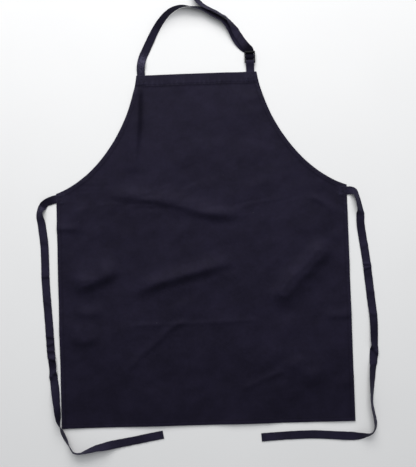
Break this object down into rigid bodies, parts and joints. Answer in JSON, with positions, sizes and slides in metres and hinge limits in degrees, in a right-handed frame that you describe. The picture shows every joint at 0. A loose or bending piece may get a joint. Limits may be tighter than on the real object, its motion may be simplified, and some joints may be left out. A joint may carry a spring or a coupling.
{
  "type": "bib apron",
  "caption": "Cloth bib apron for workshop wear, lying flat, with an adjustable neck strap through a slide buckle and two long waist ties.",
  "frame": {"origin": "centre of the waistline, on the back face that the apron rests on", "axes": "+X across the apron towards the wearer's left side, +Y from the bottom hem up to the neck, +Z out of the front face"},
  "size_m": [0.8296, 1.1416, 0.0201],
  "materials": {
    "cloth": "dark navy plain-weave cotton drill, matte",
    "tape": "dark navy folded cotton tape, matte",
    "thread": "navy polyester sewing thread, slight sheen",
    "plastic": "black moulded acetal, satin"
  },
  "bodies": {
    "skirt": {"skirt_panel": "cloth", "left_tie_sewn_end": "tape", "right_tie_sewn_end": "tape", "thread_bottom_hem": "thread", "thread_left_side_hem": "thread", "thread_right_side_hem": "thread", "thread_left_tie_anchor": "thread", "thread_right_tie_anchor": "thread"},
    "bib": {"bib_panel": "cloth", "neck_strap_sewn_end": "tape", "buckle_tab_sewn_end": "tape", "thread_top_hem": "thread", "thread_left_armhole": "thread", "thread_right_armhole": "thread", "thread_neck_strap_anchor": "thread", "thread_buckle_tab_anchor": "thread"},
    "neck_loop": {"neck_strap": "tape", "buckle_tab": "tape", "thread_neck_strap_edges": "thread", "thread_buckle_tab_seam": "thread"},
    "buckle": {"slide_buckle": "plastic"},
    "strap_tail": {"neck_strap_tail": "tape", "thread_strap_tail_edges": "thread", "thread_strap_tail_end": "thread"},
    "left_tie": {"left_tie": "tape", "thread_left_tie_edges": "thread", "thread_left_tie_end": "thread"},
    "right_tie": {"right_tie": "tape", "thread_right_tie_edges": "thread", "thread_right_tie_end": "thread"}
  },
  "joints": [
    {"name": "bib_fold", "type": "hinge", "parent": "skirt", "child": "bib", "pos_m": [0, 0.006, 0.003], "axis": [1, 0, 0], "range_deg": [0, 120]},
    {"name": "neck_loop_fold", "type": "hinge", "parent": "bib", "child": "neck_loop", "pos_m": [0, 0.287, 0.0043], "axis": [1, 0, 0], "range_deg": [0, 150]},
    {"name": "buckle_tilt", "type": "hinge", "parent": "neck_loop", "child": "buckle", "pos_m": [0.131, 0.31, 0.0049], "axis": [1, 0, 0], "range_deg": [0, 6]},
    {"name": "strap_tail_slide", "type": "slide", "parent": "neck_loop", "child": "strap_tail", "axis": [-0.5151, 0.8571, 0], "range_m": [0, 0.015]},
    {"name": "left_tie_lift", "type": "hinge", "parent": "skirt", "child": "left_tie", "pos_m": [-0.358, -0.002, 0.003], "axis": [-1, 0, 0], "range_deg": [0, 150]},
    {"name": "right_tie_lift", "type": "hinge", "parent": "skirt", "child": "right_tie", "pos_m": [0.358, -0.004, 0.003], "axis": [-1, 0, 0], "range_deg": [0, 150]}
  ]
}
